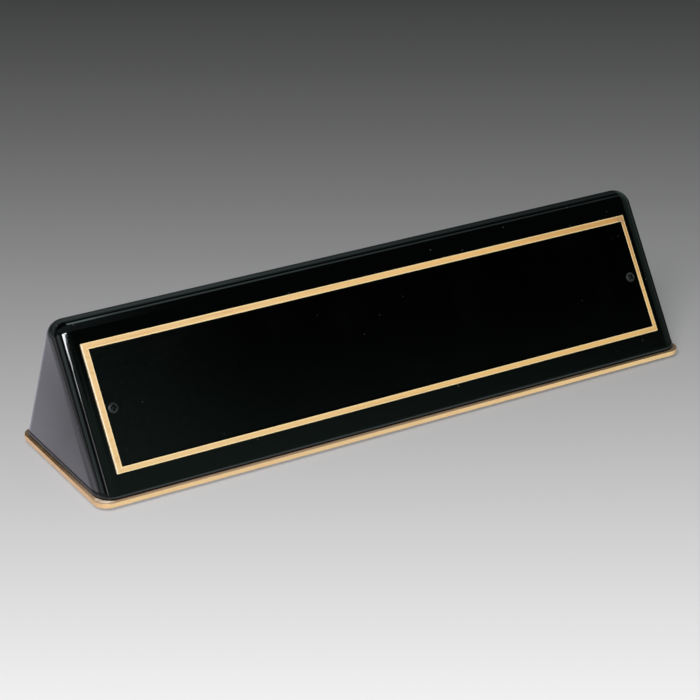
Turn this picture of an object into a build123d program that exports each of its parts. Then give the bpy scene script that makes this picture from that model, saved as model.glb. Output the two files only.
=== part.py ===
from build123d import *
import os
from math import acos, atan2, cos, degrees, hypot, radians, sin, tan

# Desk name plate: a lacquered wooden wedge on a thin brass base, with an enamelled brass plate
# screwed to its sloping front. Millimetres, +Z up, +X along the length, the front towards -Y.
# The origin lies on the desk, under the middle of the base plate.

# Feet
foot_diameter = 10.0
foot_height = 1.5
foot_inset = 5.0              # from the base plate's edges to the foot's rim
foot_rim_round = 0.4

# Base plate
base_length = 266.7
base_depth = 71.4
base_thickness = 2.0
base_corner_radius = 5.7
base_bevel = 0.25             # eased rims, top and bottom

# Wedge block
base_margin = 0.85            # brass left showing around the block's foot
block_height = 57.2           # base plate to ridge
front_slope = 56.35           # degrees from the desk
block_round = 7.0             # ridge and end edges
block_foot_round = 1.4        # edges along the base plate

# Name plate, placed by the bare lacquer between it and the block's roundovers
plate_end_margin = 1.9
plate_foot_margin = 7.4
plate_ridge_margin = 5.0
plate_thickness = 0.8
plate_bevel = 0.15
border_left = 2.5             # bare brass around the enamel, which lies a little off the middle
border_right = 1.8
border_head = 2.5
border_foot = 2.2
enamel_depth = 0.2            # pocket inside the border
enamel_drop = 0.05            # enamel's surface below the border's

# Name plate screws, low round head
plate_screw_inset = 5.5       # from the plate's ends to the screws' middles
plate_screw_drop = 0.85       # below the middle of the plate's height
plate_screw_diameter = 2.2
plate_screw_length = 9.5      # under the head
plate_screw_tip = 2.0
plate_screw_head = 4.0
plate_screw_head_height = 0.65
plate_screw_head_rim = 0.2    # straight side under the dome
plate_screw_recess = 2.7      # cross recess, tip to tip
plate_screw_recess_wing = 0.9
plate_screw_recess_depth = 0.5
plate_screw_turns = {"left": -5.0, "right": -41.0}    # degrees, as the screws were left

# Base screws, countersunk
base_screw_inset = 43.0       # from the base plate's ends
base_screw_diameter = 3.5
base_screw_length = 16.0      # overall
base_screw_tip = 3.0
base_screw_head = 6.6
base_screw_head_rim = 0.2
base_screw_recess = 4.0
base_screw_recess_wing = 0.95
base_screw_recess_depth = 1.5
base_screw_sink = 0.1         # head below the base plate's underside

# Fits and the shape that the cross recesses share
shank_clearance = 0.1         # around a shank in its hole
hole_bottom_gap = 0.5         # beyond a screw's tip
recess_floor_ratio = 0.7      # wing length at the floor to wing length at the top

# Levels
base_bottom = foot_height
base_top = base_bottom + base_thickness

# Wedge section: two slopes, each tangent to the ridge's round and to the round along its foot
block_length = base_length - 2 * base_margin
foot_front_edge = -base_depth / 2 + base_margin
foot_back_edge = base_depth / 2 - base_margin

slope = radians(front_slope)
front_foot_flat = block_foot_round / tan(slope / 2)
front_foot_y = foot_front_edge + block_foot_round - front_foot_flat

ridge_flat = (block_height - block_round * (1 - cos(slope))) / sin(slope)
ridge_centre_y = front_foot_y + ridge_flat * cos(slope) + block_round * sin(slope)
ridge_centre_z = block_height - block_round

back_run = foot_back_edge - block_foot_round - ridge_centre_y
back_fall = block_foot_round - ridge_centre_z
back_tangent = acos((block_round - block_foot_round) / hypot(back_run, back_fall))
back_slope = radians(90) - atan2(back_fall, back_run) - back_tangent
back_foot_y = foot_back_edge - block_foot_round + block_foot_round / tan(back_slope / 2)

apex_height = (back_foot_y - front_foot_y) / (1 / tan(slope) + 1 / tan(back_slope))
apex_y = front_foot_y + apex_height / tan(slope)

# Sloping front: X along the length, Y up the slope from the foot line, Z out of the face
front_face = Plane(
    origin=(0, front_foot_y, base_top),
    x_dir=(1, 0, 0),
    z_dir=(0, -sin(slope), cos(slope)),
)

# Name plate on the front
plate_length = block_length - 2 * (block_round + plate_end_margin)
plate_low = front_foot_flat + plate_foot_margin
plate_high = ridge_flat - plate_ridge_margin
plate_height = plate_high - plate_low
plate_middle = (plate_low + plate_high) / 2
field_length = plate_length - border_left - border_right
field_height = plate_height - border_head - border_foot
field_shift = (border_left - border_right) / 2
field_lift = (border_foot - border_head) / 2
enamel_floor = plate_thickness - enamel_depth
enamel_top = plate_thickness - enamel_drop

# Places of the screws, whose heads point along +Z, and of the feet
sides = {"left": -1, "right": 1}
rows = {"front": -1, "back": 1}
plate_screw_x = plate_length / 2 - plate_screw_inset
plate_screw_y = plate_middle - plate_screw_drop
base_screw_x = base_length / 2 - base_screw_inset
plate_screw_places = {
    side: front_face.location * Pos(sign * plate_screw_x, plate_screw_y, enamel_top)
    for side, sign in sides.items()
}
base_screw_places = {
    side: Pos(sign * base_screw_x, 0, base_bottom + base_screw_sink) * Rot(180, 0, 0)
    for side, sign in sides.items()
}
foot_x = base_length / 2 - foot_inset - foot_diameter / 2
foot_y = base_depth / 2 - foot_inset - foot_diameter / 2


def upright_cylinder(diameter, bottom, top):
    """Round bar along Z between two levels."""
    bar = Cylinder(diameter / 2, top - bottom, align=(Align.CENTER, Align.CENTER, Align.MIN))
    return Pos(0, 0, bottom) * bar


def slab(length, width, bottom, top):
    """Rectangular sheet centred on Z between two levels."""
    sheet = Box(length, width, top - bottom, align=(Align.CENTER, Align.CENTER, Align.MIN))
    return Pos(0, 0, bottom) * sheet


def turned(outline):
    """Solid of revolution about Z from a closed half outline in the XZ plane."""
    return revolve(Plane.XZ * make_face(outline), Axis.Z)


def cross_recess(length, wing, depth):
    """Cross recess sunk below Z = 0: two crossed wings that shorten towards the floor."""
    top = length / 2
    floor = top * recess_floor_ratio
    outline = Polyline((-top, 0), (top, 0), (floor, -depth), (-floor, -depth), close=True)
    bar = extrude(Plane.XZ * make_face(outline), wing / 2, both=True)
    return bar + Rot(0, 0, 90) * bar


def plate_screw():
    """Round-head wood screw along -Z, with the underside of its head at Z = 0."""
    head = plate_screw_head / 2
    shank = plate_screw_diameter / 2
    crown = (0, plate_screw_head_height)
    rim = (head, plate_screw_head_rim)
    dome = TangentArc(crown, rim, tangent=(1, 0))
    side = Polyline(
        rim,
        (head, 0),
        (shank, 0),
        (shank, plate_screw_tip - plate_screw_length),
        (0, -plate_screw_length),
        crown,
    )
    recess = cross_recess(plate_screw_recess, plate_screw_recess_wing, plate_screw_recess_depth)
    return turned(dome + side) - Pos(0, 0, plate_screw_head_height) * recess


def plate_screw_holes():
    """Blind holes for the name plate's screws, from under their heads to beyond their tips."""
    diameter = plate_screw_diameter + 2 * shank_clearance
    hole = upright_cylinder(diameter, -plate_screw_length - hole_bottom_gap, 0)
    return [place * hole for place in plate_screw_places.values()]


def base_screw():
    """Countersunk wood screw along -Z, with the top of its head at Z = 0."""
    head = base_screw_head / 2
    shank = base_screw_diameter / 2
    outline = Polyline(
        (0, 0),
        (head, 0),
        (head, -base_screw_head_rim),
        (shank, -base_screw_head_rim - head + shank),
        (shank, base_screw_tip - base_screw_length),
        (0, -base_screw_length),
        close=True,
    )
    return turned(outline) - cross_recess(base_screw_recess, base_screw_recess_wing, base_screw_recess_depth)


def base_screw_holes():
    """Countersunk blind holes for the base screws, from the underside to beyond their tips."""
    head = base_screw_head / 2 + shank_clearance
    shank = base_screw_diameter / 2 + shank_clearance
    end = -base_screw_length - hole_bottom_gap
    outline = Polyline(
        (0, base_screw_sink),
        (head, base_screw_sink),
        (head, -base_screw_head_rim),
        (shank, -base_screw_head_rim - head + shank),
        (shank, end),
        (0, end),
        close=True,
    )
    hole = turned(outline)
    return [place * hole for place in base_screw_places.values()]


def base_plate():
    """Rounded sheet with eased rims and a countersunk hole for each base screw."""
    outline = RectangleRounded(base_length, base_depth, base_corner_radius)
    sheet = Pos(0, 0, base_bottom) * extrude(outline, base_thickness)
    levels = sheet.faces().sort_by(Axis.Z)
    rims = levels[0].edges() + levels[-1].edges()
    return chamfer(rims, base_bevel) - base_screw_holes()


def wedge_block():
    """Sharp prism with rounded ridge, ends and foot, and a pilot hole for every screw."""
    section = Polyline(
        (front_foot_y, base_top),
        (back_foot_y, base_top),
        (apex_y, base_top + apex_height),
        close=True,
    )
    block = extrude(Plane.YZ * make_face(section), block_length / 2, both=True)
    upper = block.edges().filter_by(lambda edge: edge.center().Z > base_top + block_foot_round)
    block = fillet(upper, block_round)
    block = fillet(block.faces().sort_by(Axis.Z)[0].edges(), block_foot_round)
    return block - plate_screw_holes() - base_screw_holes()


def name_plate():
    """Brass sheet with a bevelled edge and a shallow pocket inside its border, on the sloping front."""
    sheet = slab(plate_length, plate_height, 0, plate_thickness)
    sheet = chamfer(sheet.faces().sort_by(Axis.Z)[-1].edges(), plate_bevel)
    pocket = slab(field_length, field_height, enamel_floor, plate_thickness)
    sheet -= Pos(field_shift, field_lift, 0) * pocket
    return front_face * Pos(0, plate_middle, 0) * sheet - plate_screw_holes()


def plate_enamel():
    """Black field that fills the plate's pocket to just under the border."""
    field = slab(field_length, field_height, enamel_floor, enamel_top)
    return front_face * Pos(field_shift, plate_middle + field_lift, 0) * field - plate_screw_holes()


def foot():
    """Round pad from the desk to the base plate, with an eased lower rim."""
    pad = upright_cylinder(foot_diameter, 0, foot_height)
    return fillet(pad.faces().sort_by(Axis.Z)[0].edges(), foot_rim_round)


nodes = {
    "wedge_block": wedge_block(),
    "base_plate": base_plate(),
    "name_plate": name_plate(),
    "plate_enamel": plate_enamel(),
}
for side, place in plate_screw_places.items():
    nodes[f"plate_screw_{side}"] = place * Rot(0, 0, plate_screw_turns[side]) * plate_screw()
for side, place in base_screw_places.items():
    nodes[f"base_screw_{side}"] = place * base_screw()
for row, depth_sign in rows.items():
    for side, length_sign in sides.items():
        nodes[f"foot_{row}_{side}"] = Pos(length_sign * foot_x, depth_sign * foot_y, 0) * foot()

os.makedirs("parts", exist_ok=True)
for name, shape in nodes.items():
    export_step(shape, f"parts/{name}.step")

print(f"back slope {degrees(back_slope):.2f} degrees, ridge at y {ridge_centre_y:.2f}")
print(f"name plate {plate_length:.1f} x {plate_height:.1f}, front {front_foot_y:.2f} at its foot")
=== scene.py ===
from math import acos, atan2, cos, hypot, pi, radians, sin, sqrt, tan

import bpy
import numpy as np
from mathutils import Matrix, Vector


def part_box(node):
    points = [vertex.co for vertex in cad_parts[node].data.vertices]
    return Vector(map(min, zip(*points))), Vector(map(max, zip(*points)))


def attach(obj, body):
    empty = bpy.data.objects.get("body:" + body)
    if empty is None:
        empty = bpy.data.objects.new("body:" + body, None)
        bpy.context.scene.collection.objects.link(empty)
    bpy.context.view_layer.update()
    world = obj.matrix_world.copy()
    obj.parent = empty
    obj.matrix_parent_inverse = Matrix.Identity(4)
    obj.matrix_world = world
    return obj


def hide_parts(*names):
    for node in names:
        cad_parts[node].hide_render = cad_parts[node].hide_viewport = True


# Desk name plate: a black lacquered wedge on a thin brass base, with a bordered black plate
# screwed to its sloping front. Metres, +Z up, +X along the length, the front towards -Y.

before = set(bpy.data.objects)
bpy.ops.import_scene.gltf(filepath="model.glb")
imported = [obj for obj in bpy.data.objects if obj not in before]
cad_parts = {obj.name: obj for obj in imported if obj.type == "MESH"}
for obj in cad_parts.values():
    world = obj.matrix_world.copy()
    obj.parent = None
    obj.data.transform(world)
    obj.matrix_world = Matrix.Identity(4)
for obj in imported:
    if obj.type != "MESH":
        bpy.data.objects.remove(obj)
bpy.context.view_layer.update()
scene = bpy.context.scene
scene.view_settings.view_transform = "Standard"

# Sizes that the boxes of the frame's nodes don't give

front_slope = radians(56.35)
block_round = 0.007
block_foot_round = 0.0014

base_corner = 0.0057
base_rim_round = 0.00025

plate_thickness = 0.0008
plate_edge_round = 0.00015
plate_corner = 0.0002
field_corner = 0.00001        # of the pocket, cut sharp
enamel_depth = 0.0002
enamel_drop = 0.00005
enamel_creep = 0.00003        # enamel drawn up along the border
enamel_creep_reach = 0.0003

plate_screw_head = 0.0020     # radii
plate_screw_shank = 0.0011
plate_screw_core = 0.0008
plate_screw_pitch = 0.0009
plate_screw_rim = 0.0002
plate_screw_crown = 0.00065
plate_screw_dome = plate_screw_crown - plate_screw_rim
plate_screw_ball = (plate_screw_head ** 2 + plate_screw_dome ** 2) / (2 * plate_screw_dome)
plate_screw_length = 0.0095
plate_screw_tip = 0.0020
plate_screw_recess = (0.00135, 0.00045, 0.0005)    # wing length and width from the middle, depth
plate_screw_turns = {"left": radians(-5), "right": radians(-41)}
plate_screw_drop = 0.00085    # below the middle of the plate's height

base_screw_head = 0.0033
base_screw_shank = 0.00175
base_screw_core = 0.00125
base_screw_pitch = 0.0014
base_screw_rim = 0.0002
base_screw_length = 0.0160
base_screw_tip = 0.0030
base_screw_recess = (0.0020, 0.000475, 0.0015)
base_screw_sink = 0.0001
hole_clearance = 0.0001
hole_cover = 0.0001           # brass left above a base screw's hole

recess_floor_ratio = 0.7      # wing length at the floor to wing length at the top
recess_wall = 0.2             # share of a wing's half width that its side takes
thread_rows = 10              # in each pitch
thread_flank = 3.4            # fall of the ridge beside its peak, over one pitch
thread_lead = 0.3             # plain shank under the head, in pitches

foot_rim_round = 0.0004

# Section of the wedge, as its slopes and rounds meet

block_low, block_high = map(np.array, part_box("wedge_block"))
base_low, base_high = map(np.array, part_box("base_plate"))
sheet_low, sheet_high = map(np.array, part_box("name_plate"))
field_low, field_high = map(np.array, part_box("plate_enamel"))

block_foot = block_low[2]
ridge_x = block_high[0] - block_round
ridge_z = block_high[2] - block_round
front_foot_y = block_low[1] + block_foot_round - block_foot_round / tan(front_slope / 2)
ridge_climb = (block_high[2] - block_foot - block_round * (1 - cos(front_slope))) / sin(front_slope)
ridge_y = front_foot_y + ridge_climb * cos(front_slope) + block_round * sin(front_slope)
back_run = block_high[1] - block_foot_round - ridge_y
back_fall = block_foot + block_foot_round - ridge_z
back_tangent = acos((block_round - block_foot_round) / hypot(back_run, back_fall))
back_slope = pi / 2 - atan2(back_fall, back_run) - back_tangent

# Frame of the sloping front: along the length, up the slope from the foot line, out of the face

along = np.array((1.0, 0.0, 0.0))
up_slope = np.array((0.0, cos(front_slope), sin(front_slope)))
off_front = np.array((0.0, -sin(front_slope), cos(front_slope)))
off_back = np.array((0.0, sin(back_slope), cos(back_slope)))
upright = np.array((0.0, 0.0, 1.0))

plate_foot = (sheet_low[2] - block_foot) / sin(front_slope)
plate_head = (sheet_high[1] - front_foot_y) / cos(front_slope)
plate_half_length = sheet_high[0]
plate_half_height = (plate_head - plate_foot) / 2
plate_middle = np.array((0.0, front_foot_y, block_foot)) + up_slope * (plate_foot + plate_head) / 2
front_axes = np.stack((along, up_slope, off_front))

enamel_floor, enamel_top = plate_thickness - enamel_depth, plate_thickness - enamel_drop
field_foot = (field_low[2] - block_foot - enamel_floor * cos(front_slope)) / sin(front_slope)
field_head = (field_high[2] - block_foot - enamel_top * cos(front_slope)) / sin(front_slope)
field_half_length = (field_high[0] - field_low[0]) / 2
field_half_height = (field_head - field_foot) / 2
field_x = (field_low[0] + field_high[0]) / 2
field_middle = np.array((field_x, front_foot_y, block_foot)) + up_slope * (field_foot + field_head) / 2


# Surfaces

full_turn = np.linspace(0, 2 * pi, 97)
weld_distance = 1e-7


def put_mesh(name, patches):
    """One closed mesh from grids of points and the surface normals at those points.

    A grid cell gives two triangles. Points that coincide are joined, triangles that shrink to a line
    go, and each triangle is wound to face along its normals, which the corners keep for shading.
    """
    points, normals, triangles = [], [], []
    first = 0
    for grid, facing in patches:
        cells = first + np.arange(grid.shape[0] * grid.shape[1]).reshape(grid.shape[:2])
        a, b, c, d = cells[:-1, :-1], cells[1:, :-1], cells[1:, 1:], cells[:-1, 1:]
        triangles += [np.stack(three, -1).reshape(-1, 3) for three in ((a, b, c), (a, c, d))]
        points.append(grid.reshape(-1, 3))
        normals.append(facing.reshape(-1, 3))
        first += cells.size
    points, normals, triangles = map(np.concatenate, (points, normals, triangles))

    places = np.round(points / weld_distance)
    _, kept, joined = np.unique(places, axis=0, return_index=True, return_inverse=True)
    corners = joined.reshape(-1)[triangles]
    whole = (corners != np.roll(corners, 1, axis=1)).all(axis=1)
    corners, triangles = corners[whole], triangles[whole]
    vertices = points[kept]
    start, second, third = vertices[corners].transpose(1, 0, 2)
    outward = (np.cross(second - start, third - start) * normals[triangles].sum(axis=1)).sum(axis=1)
    corners[outward < 0] = corners[outward < 0][:, ::-1]
    triangles[outward < 0] = triangles[outward < 0][:, ::-1]

    mesh = bpy.data.meshes.new(name)
    mesh.from_pydata(vertices.tolist(), [], corners.tolist())
    mesh.polygons.foreach_set("use_smooth", np.ones(len(corners), bool))
    mesh.normals_split_custom_set(normals[triangles].reshape(-1, 3).tolist())
    piece = bpy.data.objects.new(name, mesh)
    scene.collection.objects.link(piece)
    return piece


def dress(piece, node, material):
    """The piece stands for a node of the frame, rides with it and wears the material."""
    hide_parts(node)
    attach(piece, "root")
    piece.data.materials.append(material)


def edge_line(*corners):
    """Straight runs of a profile; each run's normal is the run turned a quarter turn to the left."""
    corners = np.array(corners, float)
    runs = np.diff(corners, axis=0)
    runs /= np.linalg.norm(runs, axis=1, keepdims=True)
    lefts = np.stack((-runs[:, 1], runs[:, 0]), -1)
    return [(corners[k:k + 2], np.stack((lefts[k], lefts[k]))) for k in range(len(runs))]


def edge_arc(centre, radius, start, end, steps=8):
    """Arc of a profile about a centre, between two angles in degrees; its normals are its radii."""
    turn = np.radians(np.linspace(start, end, steps + 1))
    normal = np.stack((np.cos(turn), np.sin(turn)), -1)
    return [(np.array(centre) + radius * normal, normal)]


def edge_curve(out, level):
    """Smooth run of a profile through given points; its normals are its slopes turned to the left."""
    points = np.stack((out, level), -1)
    slope = np.gradient(points, axis=0)
    slope /= np.linalg.norm(slope, axis=1, keepdims=True)
    return [(points, np.stack((-slope[:, 1], slope[:, 0]), -1))]


def sheet(half_length, half_width, corner, profile, steps=10):
    """Profile carried around a rounded rectangle.

    A profile point a given inset inside the outline runs round a rectangle that is smaller by that
    inset, and its corner radius is the outline's less the inset, down to a sharp corner.
    """
    quarter = np.linspace(0, pi / 2, steps + 1)
    half_turn = np.concatenate((quarter, [pi / 2], quarter + pi / 2))
    turn = np.concatenate((half_turn, half_turn + pi, [2 * pi]))
    full = np.ones(steps + 1)
    side = np.concatenate((full, [0], -full, -full, [0], full, [1]))
    end = np.concatenate((full, [1], full, -full, [-1], -full, [1]))
    normal = np.stack((np.cos(turn), np.sin(turn)), -1)[:, None]
    signs = np.stack((side, end), -1)[:, None]
    patches = []
    for points, facing in profile:
        inset = -points[None, :, :1]
        centre = signs * (np.array((half_length, half_width)) - np.maximum(inset, corner))
        plan = centre + (corner - np.minimum(inset, corner)) * normal
        level = np.broadcast_to(points[None, :, 1:], plan[..., :1].shape)
        rise = np.broadcast_to(facing[None, :, 1:], plan[..., :1].shape)
        patches.append((
            np.concatenate((plan, level), -1),
            np.concatenate((facing[None, :, :1] * normal, rise), -1),
        ))
    return patches


def turned(profile, turn=full_turn):
    """Profile of radius and level, carried once round the Z axis through the given angles."""
    round_z = np.stack((np.cos(turn), np.sin(turn), np.zeros_like(turn)), -1)[:, None]
    return [
        tuple(part[None, :, :1] * round_z + part[None, :, 1:] * upright for part in run)
        for run in profile
    ]


def placed(patches, origin, axes=np.eye(3)):
    """The same surfaces with their own X, Y and Z along the given axes, moved to the origin given."""
    return [(grid @ axes + origin, facing @ axes) for grid, facing in patches]


def ring_normals(grid):
    """Normals of a grid whose second direction closes on itself, from the steps between neighbours."""
    ring = grid[:, :-1]
    across = np.gradient(ring, axis=0)
    around = np.roll(ring, -1, axis=1) - np.roll(ring, 1, axis=1)
    normal = np.cross(around, across)
    size = np.linalg.norm(normal, axis=2, keepdims=True)
    normal = np.where(size > 1e-16, normal / np.maximum(size, 1e-16), upright)
    return np.concatenate((normal, normal[:, :1]), axis=1)


def swing(start, end, steps):
    """Unit vectors that turn evenly from one direction to the other, one row for each step."""
    part = np.linspace(0, 1, steps + 1)[:, None, None]
    angle = np.arccos(np.clip((start * end).sum(-1), -1, 1))[None, :, None]
    whole = np.maximum(np.sin(angle), 1e-9)
    turned_part = (np.sin((1 - part) * angle) * start + np.sin(part * angle) * end) / whole
    return np.where(angle > 1e-6, turned_part, np.broadcast_to(start, turned_part.shape))


def blended(start, end, steps):
    """Points evenly spaced from one place to the other, one row for each step."""
    part = np.linspace(0, 1, steps + 1)[:, None, None]
    return (1 - part) * start + part * end


def wedge_surface():
    """Lacquered wedge: stations along the length, each with one closed loop round the section.

    A ball of the roundover's radius rolls inside the wedge. At each station the two slopes lean out
    from the ridge's centre by that radius, along normals that turn from the slopes' own normals to
    the end's as the station goes round the end. A smaller ball along the foot rounds the lower edge.
    """
    inner = block_round - block_foot_round
    fall = ridge_z - block_foot - block_foot_round
    close, bend, run = 5, 19, 7      # stations that close an end, go round it and lie between the ends
    shut, bending = np.full(close, 90), np.linspace(90, 0, bend)
    turn = np.radians(np.concatenate((shut, bending, np.zeros(run), bending[::-1], shut)))
    end_x = np.full(close + bend - 1, ridge_x)
    x = np.concatenate((-end_x, np.linspace(-ridge_x, ridge_x, run + 2), end_x))
    closing = np.linspace(1, 0.2, close)
    slide = np.concatenate((closing, np.zeros(2 * bend + run), closing[::-1]))
    lean, reach = np.cos(turn)[:, None], (np.sign(x) * np.sin(turn))[:, None]

    foot_x = x + inner * reach[:, 0]
    front_y = ridge_y - fall / tan(front_slope) - inner * lean[:, 0] / sin(front_slope)
    back_y = ridge_y + fall / tan(back_slope) + inner * lean[:, 0] / sin(back_slope)
    middle_y = ridge_y + fall * (1 / tan(back_slope) - 1 / tan(front_slope)) / 2
    level = np.full_like(x, block_foot + block_foot_round)
    front_foot = np.stack((foot_x, front_y + (middle_y - front_y) * slide, level), -1)
    back_foot = np.stack((foot_x, back_y + (middle_y - back_y) * slide, level), -1)
    ridge = np.stack((x, np.full_like(x, ridge_y), np.full_like(x, ridge_z)), -1)
    down = np.broadcast_to(-upright, ridge.shape)
    front = lean * off_front + reach * along
    back = lean * off_back + reach * along

    front_heel = swing(down, front, steps=10)
    back_heel = swing(back, down, steps=10)
    cap = swing(front, back, steps=28)
    small, large = block_foot_round, block_round
    walls = [
        (blended(back_foot + small * down, front_foot + small * down, steps=4), down),
        (front_foot + small * front_heel, front_heel),
        (blended(front_foot + small * front, ridge + large * front, steps=8), front),
        (ridge + large * cap, cap),
        (blended(ridge + large * back, back_foot + small * back, steps=8), back),
        (back_foot + small * back_heel, back_heel),
    ]
    return [(grid, np.broadcast_to(facing, grid.shape)) for grid, facing in walls]


def bored_underside(half_length, half_width, level, bore_x, bore):
    """Flat rectangle facing down with a round hole in each half.

    Each half is ruled from the hole's circle to the half's corners: a point on the circle goes to
    the corner that lies in its own quarter.
    """
    circle_x, circle_y = np.cos(full_turn), np.sin(full_turn)
    flat = np.full_like(full_turn, level)
    patches = []
    for side in (-1, 1):
        edge_x = np.where(side * circle_x > 0, side * half_length, 0.0)
        edge_y = np.where(circle_y > 0, half_width, -half_width)
        inner = np.stack((side * bore_x + bore * circle_x, bore * circle_y, flat), -1)
        outer = np.stack((edge_x, edge_y, flat), -1)
        grid = np.stack((inner, outer))
        patches.append((grid, np.broadcast_to(-upright, grid.shape)))
    return patches


def screw_x(node):
    """Middle of a node along the length."""
    low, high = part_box(node)
    return (low[0] + high[0]) / 2


def base_surface():
    """Brass sheet with softened rims, and a countersunk blind hole for each base screw underneath."""
    low, high, rim = base_low[2], base_high[2], base_rim_round
    half_length, half_width = base_high[0], base_high[1]
    profile = (
        edge_line((-half_width, high), (-base_corner, high), (-rim, high))
        + edge_arc((-rim, high - rim), rim, 90, 0)
        + edge_line((0, high - rim), (0, low + rim))
        + edge_arc((-rim, low + rim), rim, 0, -90)
        + edge_line((-rim, low), (-base_corner, low))
    )
    bore = base_screw_head + hole_clearance
    pilot = base_screw_shank + hole_clearance
    mouth = low + base_screw_sink + base_screw_rim
    neck, end = mouth + bore - pilot, high - hole_cover
    hole = turned(edge_line((bore, low), (bore, mouth), (pilot, neck), (pilot, end), (0, end)))
    patches = sheet(half_length, half_width, base_corner, profile)
    flat_length, flat_width = half_length - base_corner, half_width - base_corner
    patches += bored_underside(flat_length, flat_width, low, screw_x("base_screw_right"), bore)
    for node in ("base_screw_left", "base_screw_right"):
        patches += placed(hole, (screw_x(node), 0, 0))
    return patches


def bordered_sheet():
    """Brass plate with a shallow pocket for the enamel, and softened edges inside and out.

    The rim and the pocket are profiles carried round two rectangles, and the border between them is
    ruled from the one outline to the other.
    """
    top, round_edge, soft = plate_thickness, plate_edge_round, plate_edge_round / 3
    rim = sheet(plate_half_length, plate_half_height, plate_corner, (
        edge_arc((-round_edge, top - round_edge), round_edge, 90, 0, steps=6)
        + edge_line((0, top - round_edge), (0, 0), (-plate_half_height, 0))
    ), steps=6)
    pocket = sheet(field_half_length, field_half_height, field_corner, (
        edge_line((-field_half_height, enamel_floor), (0, enamel_floor), (0, top - soft))
        + edge_arc((soft, top - soft), soft, 180, 90, steps=4)
    ), steps=6)
    rim = placed(rim, plate_middle, front_axes)
    pocket = placed(pocket, field_middle, front_axes)
    border = np.stack((pocket[-1][0][:, -1], rim[0][0][:, 0]), 1)
    return [*rim, *pocket, (border, np.broadcast_to(off_front, border.shape))]


def enamel_field():
    """Black field in the pocket: level in the middle, and drawn up along the border.

    The rise is greatest at the border and falls off exponentially with the distance from it.
    """
    edge = np.concatenate(([field_half_height], enamel_creep_reach * np.linspace(6, 0, 19)))
    rise = enamel_top + enamel_creep * np.exp(-edge / enamel_creep_reach)
    profile = edge_curve(-edge, rise)
    profile += edge_line((0, rise[-1]), (0, enamel_floor), (-field_half_height, enamel_floor))
    field = sheet(field_half_length, field_half_height, field_corner, profile, steps=1)
    return placed(field, field_middle, front_axes)


def head_lines(wing, half_wing):
    """Grid lines across a screw's head, as parts of its radius, closer at the edges of its recess."""
    floor = wing * recess_floor_ratio
    half = np.concatenate((
        half_wing * np.array((0.4, 1 - recess_wall, 1.0, 1.15)),
        np.linspace(half_wing * 1.15, floor, 5)[1:],
        np.linspace(floor, wing, 4)[1:],
        np.linspace(wing * 1.04, 1, 9),
    ))
    return np.concatenate((-half[::-1], [0], half))


def head_rim(lines):
    """Angles at which the grid lines meet the head's rim, once round."""
    quarter = np.arcsin(lines / sqrt(2))
    return np.append((quarter[:-1] + pi / 2 * np.arange(4)[:, None]).ravel(), quarter[0] + 2 * pi)


def head_top(head, crown, ball, recess):
    """Top of a screw's head: part of a ball, or flat without one, less a cross recess.

    The grid is a square whose rows and columns bow outwards until its sides lie on the head's circle.
    Each wing of the recess falls from its tip to the floor, between steep walls along two grid lines.
    """
    wing, half_wing = recess[0] / head, recess[1] / head
    lines = head_lines(wing, half_wing)
    u, v = np.meshgrid(lines, lines, indexing="ij")
    x, y = head * u * np.sqrt(1 - v ** 2 / 2), head * v * np.sqrt(1 - u ** 2 / 2)
    climb = [np.clip((wing - abs(p)) / (wing * (1 - recess_floor_ratio)), 0, 1) for p in (u, v)]
    wall = [np.clip((half_wing - abs(p)) / (half_wing * recess_wall), 0, 1) for p in (u, v)]
    sunk = crown - recess[2] * np.maximum(climb[0] * wall[1], climb[1] * wall[0])
    dome = crown - ball + np.sqrt(ball ** 2 - x ** 2 - y ** 2) if ball else np.full_like(x, crown)
    grid = np.stack((x, y, np.minimum(dome, sunk)), -1)
    facing = np.cross(np.gradient(grid, axis=0), np.gradient(grid, axis=1))
    return grid, facing / np.linalg.norm(facing, axis=2, keepdims=True), head_rim(lines)


def screw_thread(shank, core, pitch, start, end, tip, turn):
    """Threaded shank from one level down to a point.

    The radius is the core plus a ridge that peaks once for each pitch and turn. The ridge fades in
    under the head and the whole radius shrinks to nothing over the tip.
    """
    level = np.linspace(start, end, int(thread_rows * (start - end) / pitch))[:, None]
    phase = (level / pitch + turn / (2 * pi)) % 1
    ridge = np.clip(1 - abs(phase - 0.5) * thread_flank, 0, 1)
    ridge = ridge * np.clip((start - level) / pitch - thread_lead, 0, 1)
    radius = (core + (shank - core) * ridge) * np.sqrt(np.clip((level - end) / tip, 0, 1))
    levels = np.broadcast_to(level, radius.shape)
    grid = np.stack((radius * np.cos(turn), radius * np.sin(turn), levels), -1)
    return grid, ring_normals(grid)


def plate_screw_surface():
    """Round-head screw along -Z with the underside of its head at Z = 0."""
    head, rim, crown = plate_screw_head, plate_screw_rim, plate_screw_crown
    top, facing, turn = head_top(head, crown, plate_screw_ball, plate_screw_recess)
    side = turned(edge_line((head, rim), (head, 0), (plate_screw_core, 0)), turn)
    end, tip = -plate_screw_length, plate_screw_tip
    thread = screw_thread(plate_screw_shank, plate_screw_core, plate_screw_pitch, 0, end, tip, turn)
    return [(top, facing), *side, thread]


def base_screw_surface():
    """Countersunk screw along -Z with the flat of its head at Z = 0."""
    head, rim = base_screw_head, base_screw_rim
    neck = -rim - head + base_screw_core
    top, facing, turn = head_top(head, 0.0, None, base_screw_recess)
    side = turned(edge_line((head, 0), (head, -rim), (base_screw_core, neck)), turn)
    end, tip = -base_screw_length, base_screw_tip
    thread = screw_thread(base_screw_shank, base_screw_core, base_screw_pitch, neck, end, tip, turn)
    return [(top, facing), *side, thread]


def foot_surface(radius, height):
    """Round pad with an eased lower rim."""
    ease = foot_rim_round
    profile = (
        edge_line((0, height), (radius, height), (radius, ease))
        + edge_arc((radius - ease, ease), ease, 0, -90)
        + edge_line((radius - ease, 0), (0, 0))
    )
    return turned(profile)


# Finishes


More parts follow.
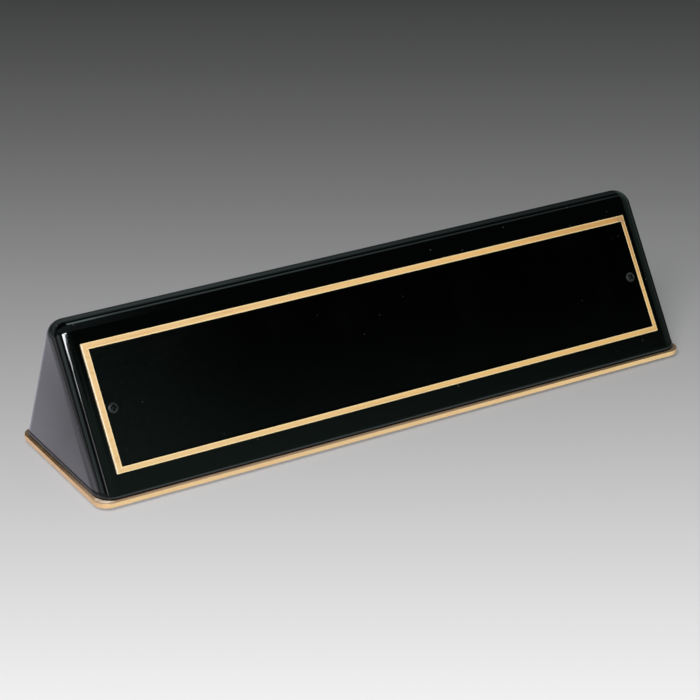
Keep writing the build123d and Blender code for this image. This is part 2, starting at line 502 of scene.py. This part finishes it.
class Value:
    """A node's output; sums, differences and products with it add Math nodes beside that node."""

    def __init__(self, nodes, socket):
        self.nodes, self.socket = nodes, socket

    def math(self, operation, *values):
        return self.nodes.add("ShaderNodeMath", {"operation": operation}, dict(enumerate(values)))

    def __add__(self, other):
        return self.math("ADD", self, other)

    def __sub__(self, other):
        return self.math("SUBTRACT", self, other)

    def __rsub__(self, other):
        return self.math("SUBTRACT", other, self)

    def __mul__(self, other):
        return self.math("MULTIPLY", self, other)

    def __truediv__(self, other):
        return self.math("DIVIDE", self, other)

    def __rtruediv__(self, other):
        return self.math("DIVIDE", other, self)

    def __abs__(self):
        return self.math("ABSOLUTE", self)

    def at_least(self, other):
        return self.math("MAXIMUM", self, other)

    def at_most(self, other):
        return self.math("MINIMUM", self, other)

    __radd__ = __add__
    __rmul__ = __mul__


class Nodes:
    """A node tree, emptied and filled again one node at a time."""

    def __init__(self, tree):
        self.tree = tree
        tree.nodes.clear()

    def add(self, kind, settings=None, inputs=None, output=0):
        """A node of one kind: its settings, with a ramp's stops, then its sockets' values or links."""
        node = self.tree.nodes.new(kind)
        for name, setting in (settings or {}).items():
            if name == "stops":
                ramp = node.color_ramp.elements
                while len(ramp) < len(setting):
                    ramp.new(0.5)
                for stop, (place, colour) in zip(ramp, setting):
                    stop.position, stop.color = place, (*colour, 1)
            else:
                setattr(node, name, setting)
        for name, value in (inputs or {}).items():
            if isinstance(value, Value):
                self.tree.links.new(value.socket, node.inputs[name])
            else:
                node.inputs[name].default_value = value
        return Value(self, node.outputs[output]) if node.outputs else None

    def place(self, scale=(1, 1, 1), turn=(0, 0, 0)):
        """Object coordinates, turned and then stretched."""
        here = self.add("ShaderNodeTexCoord", output="Object")
        here = self.add("ShaderNodeMapping", {"vector_type": "POINT"}, {"Vector": here, "Rotation": turn})
        return self.vector("MULTIPLY", {0: here, 1: scale})

    def vector(self, operation, inputs, output=0):
        """Vector Math on colours or places."""
        return self.add("ShaderNodeVectorMath", {"operation": operation}, inputs, output)

    def part(self, where, axis):
        """One coordinate of a place."""
        return self.add("ShaderNodeSeparateXYZ", {}, {0: where}, axis)

    def reach(self, where, direction):
        """How far a place lies along a direction."""
        return self.vector("DOT_PRODUCT", {0: where, 1: tuple(direction)}, "Value")

    def scaled(self, colour, share):
        """A colour, or a vector, times a number."""
        return self.vector("SCALE", {0: colour, "Scale": share})

    def noise(self, where, scale, detail=2.0, roughness=0.5):
        """Soft noise between 0 and 1."""
        return self.add("ShaderNodeTexNoise", {}, {
            "Vector": where, "Scale": scale, "Detail": detail, "Roughness": roughness})

    def specks(self, where, scale, size):
        """Sparse round specks: places nearer than the size to a scattered point, in cells of the scale."""
        away = self.add("ShaderNodeTexVoronoi", {}, {"Vector": where, "Scale": scale}, "Distance")
        return self.fade(away, size * 0.5, size, 1, 0)

    def fade(self, value, start, end, low=0.0, high=1.0):
        """Smooth step of a value between two limits."""
        return self.add("ShaderNodeMapRange", {"interpolation_type": "SMOOTHSTEP"}, {
            "Value": value, "From Min": start, "From Max": end, "To Min": low, "To Max": high})

    def blend(self, first, second, share):
        """Colour that goes from the first to the second as the share goes from 0 to 1."""
        return self.add("ShaderNodeMix", {"data_type": "RGBA"}, {0: share, 6: first, 7: second}, output=2)

    def bump(self, height, depth, strength=1.0):
        """Normal of a surface raised by a height times the depth."""
        return self.add("ShaderNodeBump", {}, {"Height": height, "Distance": depth, "Strength": strength})


def finish_of(name):
    """A new material and its empty node tree."""
    material = bpy.data.materials.new(name)
    material.use_nodes = True
    return material, Nodes(material.node_tree)


def surface(nodes, **sockets):
    """Principled surface with the given sockets."""
    named = {name.replace("_", " ").replace("Ior", "IOR"): value for name, value in sockets.items()}
    return nodes.add("ShaderNodeBsdfPrincipled", {}, named)


def surface_out(nodes, **sockets):
    """Principled surface with the given sockets, joined to the material's output."""
    nodes.add("ShaderNodeOutputMaterial", {}, {"Surface": surface(nodes, **sockets)})


def mixed_out(nodes, share, first, second):
    """Two surfaces mixed by the second one's share, joined to the material's output."""
    both = nodes.add("ShaderNodeMixShader", {}, {0: share, 1: first, 2: second})
    nodes.add("ShaderNodeOutputMaterial", {}, {"Surface": both})


def grey(level):
    return (level, level, level, 1)


def lacquer_finish():
    """Black piano lacquer: a clear gloss with a slight waviness, faint haze and a little dust.

    The gloss deepens towards the back and low on the left end. Along the foot, most of all at the
    ends, the lacquer is mixed to a matt near-black surface: painted shade in the crease against the base.
    """
    material, nodes = finish_of("black_lacquer")
    here = nodes.place()
    haze = nodes.fade(nodes.noise(here, 38, 4), 0.42, 0.75)
    grain = nodes.noise(nodes.place((60, 900, 900)), 1, 3)
    dust = nodes.specks(here, 190, 0.06)
    x, rise = nodes.part(here, "X"), nodes.part(here, "Z") - block_foot
    depth = nodes.fade(nodes.part(here, "Y"), -0.03, 0.03, 0.1, 0.95) * nodes.fade(x, 0.115, 0.128, 1, 0.4)
    on_left = nodes.fade(x, -0.1325, -0.1320, 0.6, 1) * nodes.fade(x, -0.1315, -0.1295, 1, 0)
    depth = depth.at_least(on_left * nodes.fade(rise, 0.003, 0.024, 1.0, 0.4))
    lower = nodes.fade(rise, 0.0008, 0.0011, 1, 0)
    upper = nodes.fade(rise, 0.0019, 0.0022) * nodes.fade(rise, 0.0029, 0.0032, 1, 0)
    ends = nodes.fade(abs(x), 0.124, 0.131)
    between = nodes.fade(rise, 0.0022, 0.0026, 0.3, 0) * (1 - lower)
    # Painted shade: along the foot, most at the ends, the lacquer is mixed to a matt near-black surface.
    foot_painted_shade = lower * 0.93 + (between + upper * 0.7) * ends
    colour = nodes.blend((0.0004, 0.0006, 0.0005, 1), (0.0010, 0.0014, 0.0012, 1), grain)
    gloss = surface(
        nodes,
        Base_Color=nodes.blend(colour, grey(0.05), dust),
        Roughness=0.035 + haze * 0.03 + dust * 0.25,
        Normal=nodes.bump(nodes.noise(here, 190, 2), 0.000006),
        Coat_Weight=depth * (1 - haze * 0.15),
        Coat_Roughness=0.012,
        Coat_Ior=1.5,
        Ior=1.5,
    )
    matt = surface(
        nodes,
        Base_Color=nodes.blend(colour, grey(0.006), haze),
        Roughness=0.8,
        Specular_Ior_Level=0.15,
    )
    mixed_out(nodes, foot_painted_shade, gloss, matt)
    return material


def base_brass_finish():
    """Brass sheet with fine polishing lines along its length and a slight tarnish.

    Its top is browner, more mirror-like and streaked. Its colour is a painted reflection with painted
    shade, paler at the front left and darker to the right and back, with a painted highlight at the front
    left corner.
    """
    material, nodes = finish_of("base_brass")
    here = nodes.place()
    x, y = nodes.part(here, "X"), nodes.part(here, "Y")
    lines = nodes.noise(nodes.place((40, 4200, 7000)), 1, 4, 0.65)
    broad = nodes.noise(nodes.place((10, 500, 900)), 1, 3)
    tarnish = nodes.fade(nodes.noise(here, 60, 5, 0.6), 0.45, 0.8)
    top = nodes.fade(nodes.part(here, "Z"), base_high[2] - 0.00012, base_high[2] - 0.00004)
    right = nodes.fade(x, -0.06, 0.13)
    streaks = nodes.fade(nodes.noise(nodes.place((140, 900, 900)), 1, 4, 0.7), 0.35, 0.7)
    from_left = x + base_high[0] - base_corner
    from_front = y + base_high[1] - base_corner
    bend = nodes.fade(from_left * from_left + from_front * from_front, 0.0049 ** 2, 0.0054 ** 2, 1, 0)
    corner = bend * nodes.fade(from_left, -0.001, 0.002, 1, 0) * nodes.fade(from_front, -0.001, 0.004, 1, 0)
    back = nodes.fade(y, -0.032, 0.005)
    colour = nodes.blend((0.96, 0.63, 0.32, 1), (1.0, 0.65, 0.30, 1), right)
    colour = nodes.blend(colour, (0.90, 0.53, 0.24, 1), tarnish * 0.6 + broad * 0.25)
    # The top's colour is a painted reflection of the black wedge with painted shade: paler at the front
    # left, darker to the right, darkest at the back.
    painted_reflection_top = nodes.blend((0.42, 0.28, 0.185, 1), (0.15, 0.105, 0.068, 1), right)
    painted_reflection_top = nodes.blend(painted_reflection_top, (0.104, 0.062, 0.034, 1), back)
    colour = nodes.blend(colour, painted_reflection_top, top * (0.88 + streaks * 0.12))
    # Painted highlight: the top turns pale near the front left corner.
    colour = nodes.blend(colour, (1.0, 0.82, 0.62, 1), top * corner * (1 - streaks * 0.7))
    surface_out(
        nodes,
        Base_Color=colour,
        Metallic=0.75 - top * 0.45 - right * (0.4 - top * 0.4),
        Roughness=0.26 + lines * 0.16 + tarnish * 0.08 - top * 0.06,
        Normal=nodes.bump(lines, 0.000004, 0.6),
    )
    return material


def border_brass_finish():
    """Satin brass border, brushed along the plate, with darker streaks and painted highlights along its cut
    edges.

    Its tone is deeper to the right, painted shade against a painted highlight at the left, and its upper
    right corner is scuffed.
    """
    material, nodes = finish_of("border_brass")
    here = nodes.place()
    turn = (-front_slope, 0, 0)
    lines = nodes.noise(nodes.place((50, 5200, 5200), turn), 1, 4, 0.65)
    streaks = nodes.noise(nodes.place((14, 900, 900), turn), 1, 3)
    patches = nodes.noise(here, 70, 3)
    x, climb = nodes.part(here, "X"), nodes.reach(here, up_slope)
    up_plate, up_field = climb - plate_middle @ up_slope, climb - field_middle @ up_slope
    outside = (abs(x) - plate_half_length).at_least(abs(up_plate) - plate_half_height)
    inside = (abs(x - field_x) - field_half_length).at_least(abs(up_field) - field_half_height)
    edge = nodes.fade(inside.at_most(0 - outside), 0.0002, 0.0006, 1, 0)
    high_right = nodes.fade(x, 0.04, 0.12) * nodes.fade(up_field, -0.01, 0.015)
    level = nodes.reach(here, off_front) - plate_middle @ off_front - plate_thickness
    left_edge_highlight = nodes.fade(x, 0.0001 - plate_half_length, 0.0003 - plate_half_length, 1, 0)
    left_edge_highlight = left_edge_highlight * nodes.fade(level, -0.0002, -0.0001)
    corner = nodes.fade(x, plate_half_length - 0.007, plate_half_length - 0.001)
    corner = corner * nodes.fade(up_plate, plate_half_height - 0.006, plate_half_height - 0.002)
    scuffs = nodes.fade(nodes.noise(nodes.place((900, 2600, 2600), turn), 1, 3), 0.48, 0.58)
    dark = nodes.fade(streaks * 0.7 + patches * 0.3, 0.45, 0.75)
    right = nodes.fade(x, -0.13, 0.11)
    # Painted light: the paler tone at the left stands for the key's whiter highlight there, the deeper one
    # to the right for less of it.
    colour = nodes.blend((0.83, 0.545, 0.262, 1), (0.96, 0.555, 0.195, 1), right)
    colour = nodes.blend(colour, (0.66, 0.36, 0.125, 1), dark * 0.6)
    colour = nodes.blend(colour, (0.69, 0.345, 0.112, 1), high_right * 0.85)
    # Painted highlight: a pale line along both edges of the border.
    colour = nodes.blend(colour, (1.0, 0.735, 0.40, 1), edge * 0.9)
    colour = nodes.blend(colour, (0.30, 0.20, 0.14, 1), corner * scuffs * 0.8)
    # Painted highlight: the plate's left cut edge turns almost white.
    colour = nodes.blend(colour, (1.0, 0.95, 0.84, 1), left_edge_highlight)
    surface_out(
        nodes,
        Base_Color=colour,
        Metallic=0.35,
        Roughness=0.42 + lines * 0.2,
        Normal=nodes.bump(lines, 0.000006, 0.7),
    )
    return material


def enamel_finish():
    """Gloss black enamel, a little paler at the left as painted reflection, with a faint speckle and a
    slight unevenness.
    """
    material, nodes = finish_of("gloss_enamel")
    here = nodes.place()
    speck = nodes.specks(here, 130, 0.04)
    haze = nodes.fade(nodes.noise(here, 45, 4), 0.45, 0.8)
    lines = nodes.noise(nodes.place((30, 2600, 2600), (-front_slope, 0, 0)), 1, 3)
    # Painted reflection: the enamel's colour is mottled paler towards the left, standing for the glow it
    # mirrors there.
    left = nodes.fade(nodes.part(here, "X"), -0.135, -0.05, 1, 0)
    grain = nodes.fade(nodes.noise(here, 1500, 3), 0.3, 0.7)
    pale = left * (0.45 + grain * 0.55)
    colour = nodes.blend((0.0002, 0.0003, 0.0002, 1), (0.0030, 0.0040, 0.0035, 1), pale)
    colour = nodes.blend(colour, (0.030, 0.032, 0.031, 1), speck * 0.8 + haze * 0.01)
    surface_out(
        nodes,
        Base_Color=colour,
        Roughness=0.06 + haze * 0.05 + lines * 0.03,
        Normal=nodes.bump(nodes.noise(here, 240, 2), 0.000005),
        Coat_Weight=0.1 - haze * 0.1,
        Specular_Ior_Level=0.3,
        Coat_Roughness=0.03,
    )
    return material


def black_screw_finish():
    """Black oxide on steel: semi-matt, gritty and worn in places, and matt black down in the recess as
    painted shade.

    The recess is where the surface lies well below the dome, not too far out from the screw's axis.
    """
    material, nodes = finish_of("black_oxide_with_painted_recess_shade")
    here = nodes.place()
    worn = nodes.fade(nodes.noise(here, 1900, 4, 0.6), 0.56, 0.74)
    grit = nodes.noise(here, 9000, 2)
    seat = plate_middle - up_slope * plate_screw_drop + off_front * enamel_top
    x = nodes.part(here, "X")
    sideways = abs(x) - screw_x("plate_screw_right")
    upwards = nodes.reach(here, up_slope) - seat @ up_slope
    out_squared = sideways * sideways + upwards * upwards
    level = nodes.reach(here, off_front) - seat @ off_front
    below = plate_screw_crown - out_squared * (1 / (2 * plate_screw_ball)) - level
    # Painted shade: the recess takes a matt black surface, less dark at the middle of the cross.
    sunk = nodes.fade(below, 0.00002, 0.0001) * nodes.fade(out_squared, 1.8e-6, 2.2e-6, 1, 0)
    sunk = sunk * nodes.fade(out_squared, 0.03e-6, 0.35e-6, 0.1, 1)
    colour = nodes.blend((0.030, 0.033, 0.033, 1), (0.085, 0.085, 0.082, 1), worn)
    # Painted shade: the left screw's colour is scaled down to 0.65 of the right's.
    colour = nodes.scaled(colour, nodes.fade(x, -0.05, 0.05, 0.65, 1))
    head = surface(
        nodes,
        Base_Color=colour,
        Metallic=0.4,
        Roughness=0.36 - worn * 0.12 + grit * 0.08,
        Normal=nodes.bump(grit, 0.000004, 0.5),
    )
    recess = surface(
        nodes,
        Base_Color=nodes.blend(grey(0.0004), grey(0.001), grit),
        Roughness=0.9,
        Specular_Ior_Level=0.0,
    )
    mixed_out(nodes, sunk, head, recess)
    return material


def steel_screw_finish():
    """Zinc-plated steel: pale grey with a faint warm cast and fine turning lines."""
    material, nodes = finish_of("zinc_steel")
    here = nodes.place()
    cast = nodes.noise(here, 420, 3)
    warm = nodes.fade(cast, 0.4, 0.7)
    lines = nodes.noise(nodes.place((300, 300, 9000)), 1, 3)
    surface_out(
        nodes,
        Base_Color=nodes.blend((0.56, 0.57, 0.58, 1), (0.63, 0.59, 0.50, 1), warm),
        Metallic=1.0,
        Roughness=0.24 + lines * 0.16 + cast * 0.06,
        Normal=nodes.bump(lines, 0.000003, 0.5),
    )
    return material


def rubber_finish():
    """Matt black rubber with a fine moulded grain and a little dust."""
    material, nodes = finish_of("foot_rubber")
    here = nodes.place()
    grain = nodes.noise(here, 3200, 3)
    dust = nodes.fade(nodes.noise(here, 240, 4, 0.6), 0.5, 0.75)
    pale = dust * 0.6 + grain * 0.15
    surface_out(
        nodes,
        Base_Color=nodes.blend(grey(0.018), (0.065, 0.062, 0.058, 1), pale),
        Roughness=0.72 + grain * 0.16,
        Normal=nodes.bump(grain, 0.00002, 0.6),
    )
    return material


# Pieces

dress(put_mesh("lacquered_wedge", wedge_surface()), "wedge_block", lacquer_finish())
dress(put_mesh("brass_base", base_surface()), "base_plate", base_brass_finish())
dress(put_mesh("brass_border", bordered_sheet()), "name_plate", border_brass_finish())
dress(put_mesh("black_field", enamel_field()), "plate_enamel", enamel_finish())

oxide, zinc, rubber = black_screw_finish(), steel_screw_finish(), rubber_finish()
for side, turn in plate_screw_turns.items():
    spin = np.array(((cos(turn), sin(turn), 0), (-sin(turn), cos(turn), 0), (0, 0, 1)))
    seat = plate_middle + along * screw_x(f"plate_screw_{side}") - up_slope * plate_screw_drop
    seat = seat + off_front * enamel_top
    screw = put_mesh(f"border_screw_{side}", placed(plate_screw_surface(), seat, spin @ front_axes))
    dress(screw, f"plate_screw_{side}", oxide)

head_down = np.diag((1.0, -1.0, -1.0))
for side in ("left", "right"):
    seat = (screw_x(f"base_screw_{side}"), 0, base_low[2] + base_screw_sink)
    screw = put_mesh(f"underside_screw_{side}", placed(base_screw_surface(), seat, head_down))
    dress(screw, f"base_screw_{side}", zinc)

for row in ("front", "back"):
    for side in ("left", "right"):
        low, high = map(np.array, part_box(f"foot_{row}_{side}"))
        pad = foot_surface((high[0] - low[0]) / 2, high[2] - low[2])
        middle = ((low[0] + high[0]) / 2, (low[1] + high[1]) / 2, low[2])
        pad = put_mesh(f"pad_{row}_{side}", placed(pad, middle))
        dress(pad, f"foot_{row}_{side}", rubber)

# Camera, at the photograph's angle and distance

camera_azimuth = radians(30.952)
camera_elevation = radians(25.282)
camera_roll = radians(0.151)
camera_distance = 1.0052
camera_target = np.array((-0.005711, 0.0, 0.021699))
focal_pixels = 2534.9
picture_pixels = 700

toward_camera = np.array((
    -sin(camera_azimuth) * cos(camera_elevation),
    -cos(camera_azimuth) * cos(camera_elevation),
    sin(camera_elevation),
))
level_right = np.array((cos(camera_azimuth), -sin(camera_azimuth), 0.0))
level_up = np.cross(toward_camera, level_right)
camera_right = cos(camera_roll) * level_right + sin(camera_roll) * level_up
camera_up = cos(camera_roll) * level_up - sin(camera_roll) * level_right
eye = camera_target + camera_distance * toward_camera


def pose(right, up, back, place):
    """Matrix of an object whose X, Y and Z lie along three directions, at a place."""
    turned_part = np.stack((right, up, back, place), -1)
    return Matrix(np.vstack((turned_part, (0, 0, 0, 1))).tolist())


lens = bpy.data.cameras.new("camera")
lens.sensor_width = 36.0
lens.lens = focal_pixels / picture_pixels * lens.sensor_width
camera = bpy.data.objects.new("camera", lens)
camera.matrix_world = pose(camera_right, camera_up, toward_camera, eye)
scene.collection.objects.link(camera)
scene.camera = camera

# Light: a round softbox high on the left of the camera, in a dim studio


def heading(azimuth, elevation):
    """Direction away from the object, in degrees round from the front and up from the floor."""
    turn, climb = radians(azimuth), radians(elevation)
    return np.array((-sin(turn) * cos(climb), -cos(turn) * cos(climb), sin(climb)))


key_facing = heading(46, 47.6)
key_distance = 1.15
key_size = 0.62
key_power = 17.5
studio_light = 0.13           # on the floor, beside the key's

lamp = bpy.data.lights.new("key", "AREA")
lamp.shape, lamp.size, lamp.energy = "DISK", key_size, key_power
key = bpy.data.objects.new("key", lamp)
key_place = camera_target + key_distance * key_facing
key_right = np.cross(upright, key_facing) / np.linalg.norm(np.cross(upright, key_facing))
key.matrix_world = pose(key_right, np.cross(key_facing, key_right), key_facing, key_place)
key.visible_glossy = False
scene.collection.objects.link(key)

# Strip light, level and along the length, that polished surfaces mirror in the softbox's place

strip_distance = 1.08
strip_colour = (0.94, 0.95, 1.0)

# Each band's lowest and highest angle above the floor, left and right reach from the left end, brightness
strip_bands = {
    "strip": (40.4, 46.9, -0.82, -0.166, 17.0),
    "strip_edge": (39.4, 40.4, -0.74, -0.58, 9.0),
    "strip_tail": (38.2, 39.4, -0.80, -0.66, 5.0),
}

left_end = np.array((-ridge_x, ridge_y, ridge_z))
for name, (low, high, left, right, brightness) in strip_bands.items():
    climb = radians((low + high) / 2)
    facing = np.array((0.0, -cos(climb), sin(climb)))
    lamp = bpy.data.lights.new(name, "AREA")
    lamp.shape = "RECTANGLE"
    lamp.color = strip_colour
    lamp.size = right - left
    lamp.size_y = 2 * strip_distance * tan(radians(high - low) / 2)
    lamp.energy = brightness * pi * lamp.size * lamp.size_y
    strip = bpy.data.objects.new(name, lamp)
    place = left_end + strip_distance * facing + along * (left + right) / 2
    strip.matrix_world = pose(along, np.cross(facing, along), facing, place)
    strip.visible_diffuse = False
    scene.collection.objects.link(strip)


wall_edge = (-0.2495, -0.5133, -0.8213)      # square to the slanting upper edge of the wall in front
window_facing = heading(70, 18)
low_lamp_facing = heading(39.5, 29.5)
low_lamp_spread = cos(radians(4.5)), cos(radians(2.0))


def studio_room():
    """Dim room by direction, darker to the right.

    A wall in front and one on the right, a low ceiling with a strip overhead, a wall behind, a bright
    skyline with a small window on the left, and a faint lamp under the strip light.
    """
    room = bpy.data.worlds.new("studio")
    room.use_nodes = True
    nodes = Nodes(room.node_tree)
    toward = nodes.add("ShaderNodeTexCoord", output="Generated")
    x, y, z = (nodes.part(toward, axis) for axis in "XYZ")
    tilt = z.math("ARCTAN2", y, z)
    away = nodes.fade(x, 0.38, 0.56, 1.1, 0.35)
    front = nodes.fade(nodes.reach(toward, wall_edge), -0.228, -0.152, 0, 0.20)
    front = front * nodes.fade(x, -0.5, -0.3) * nodes.fade(z, 0.612, 0.626, 1, 0.2)
    right = nodes.fade(x, 0.55, 0.75, 0, 0.15) * nodes.fade(z, -0.02, 0.03)
    ceiling = nodes.fade(z, 0.66, 0.72, 0, 0.12) * nodes.fade(tilt, -0.02, 0.05, 1, 0)
    ceiling = ceiling * nodes.fade(x, 0.34, 0.42, 1, 0)
    overhead = nodes.fade(tilt, 0.03, 0.12, 0, 0.50) * nodes.fade(tilt, 0.24, 0.34, 1, 0)
    overhead = overhead * nodes.fade(x, 0.20, 0.30) * nodes.fade(x, 0.374, 0.389, 2.6, 1)
    behind = nodes.fade(tilt, 0.4, 0.8, 0, 0.24) * nodes.fade(tilt, 0.95, 1.25, 1, 0.35)
    skyline = nodes.fade(z, 0.0, 0.22, 0.58, 0.05) * nodes.fade(x, -0.8, -0.4, 1, 0)
    window = nodes.fade(nodes.reach(toward, window_facing), 0.975, 0.995, 0, 0.55)
    low_lamp = nodes.fade(nodes.reach(toward, low_lamp_facing), *low_lamp_spread, 0, 1.8)
    walls = nodes.scaled((0.68, 1.0, 0.88), front + right)
    upper = nodes.scaled((0.80, 1.0, 1.0), (overhead + behind) * away + ceiling + window)
    lights = nodes.scaled((1.0, 0.98, 1.05), skyline + low_lamp)
    colour = nodes.vector("ADD", {0: nodes.vector("ADD", {0: walls, 1: upper}), 1: lights})
    glow = nodes.add("ShaderNodeBackground", {}, {"Color": colour})
    nodes.add("ShaderNodeOutputWorld", {}, {"Surface": glow})
    return room


scene.world = studio_room()

# Floor: a pale sheet, which the camera sees darken evenly towards the back of the picture

floor_half = 4.0
floor_glow = 0.5              # share of the grade that no shadow takes away
tone_top, tone_bottom = 65 / 255, 245 / 255      # brightness at the picture's top and bottom edges
tone_swell = 16 / 255       # and above an even grade between them
floor_balance = (1.017, 0.99, 1.008)         # against the green cast of the room's light
camera_heading = np.array((sin(camera_azimuth), cos(camera_azimuth), 0.0))


def ground_ahead(row):
    """Distance from the origin, along the camera's heading, of the ground seen at a picture row."""
    dip = camera_elevation + np.arctan((row - picture_pixels / 2) / focal_pixels)
    return eye[2] / np.tan(dip) + eye @ camera_heading


def floor_finish():
    """Diffuse sheet. The camera's own rays see a grade along its heading, less the key's own falloff.

    Other rays see it pale, greyer close beside the object as painted shade, and dim on its right and far
    behind it.
    """
    material, nodes = finish_of("pale_sheet")
    rows = np.linspace(picture_pixels, 0, 12)
    ahead = ground_ahead(rows)
    part = rows / picture_pixels
    tone = tone_top + (tone_bottom - tone_top) * part + tone_swell * part * np.sin(pi * part)
    level = ((tone + 0.055) / 1.055) ** 2.4
    near, far = ahead[0], ahead[-1]
    stops = [((d - near) / (far - near), (c, c, c)) for d, c in zip(ahead.tolist(), level.tolist())]
    here = nodes.add("ShaderNodeTexCoord", output="Object")
    forward = nodes.reach(here, camera_heading)
    graded = nodes.add("ShaderNodeValToRGB", {"stops": stops}, {"Fac": (forward - near) / (far - near)})
    evened = nodes.vector("MULTIPLY", {0: graded, 1: floor_balance})

    to_key = nodes.vector("SUBTRACT", {0: tuple(key_place), 1: here})
    away = nodes.vector("LENGTH", {0: to_key}, "Value")
    slant = nodes.reach(to_key, key_facing)
    lit = slant * (key_power * key_place[2] / pi ** 2) / (away * away * away * away) + studio_light

    x, y = nodes.part(here, "X"), nodes.part(here, "Y")
    beside = nodes.fade(abs(x), 0.155, 0.20, 1, 0)
    front = nodes.fade(y, -0.045, -0.03, 1, 0)
    dim = nodes.fade(x, 0.135, 0.17, 1, 0.05) * nodes.fade(y, 0.12, 0.30, 1, 0.72)
    tint = nodes.blend((0.80, 0.77, 0.865, 1), (0.70, 0.80, 0.82, 1), front * beside)
    # Painted shade: beside and behind the object, out of its front, the floor other rays see is darkened,
    # standing for the object's occlusion.
    pale = nodes.scaled(tint, (1 - beside * (1 - front) * 0.37) * dim)
    seen = nodes.add("ShaderNodeLightPath", output="Is Camera Ray")
    surface_out(
        nodes,
        Base_Color=nodes.blend(pale, nodes.scaled(evened, (1 - floor_glow) / lit), seen),
        Emission_Color=nodes.blend(grey(0), nodes.scaled(graded, floor_glow), seen),
        Emission_Strength=1.0,
        Roughness=0.9,
        Specular_Ior_Level=0.0,
    )
    return material


ground = np.array([[(x, y, 0.0) for x in (-floor_half, floor_half)] for y in (-floor_half, floor_half)])
floor = put_mesh("floor", [(ground, np.broadcast_to(upright, ground.shape))])
floor.data.materials.append(floor_finish())
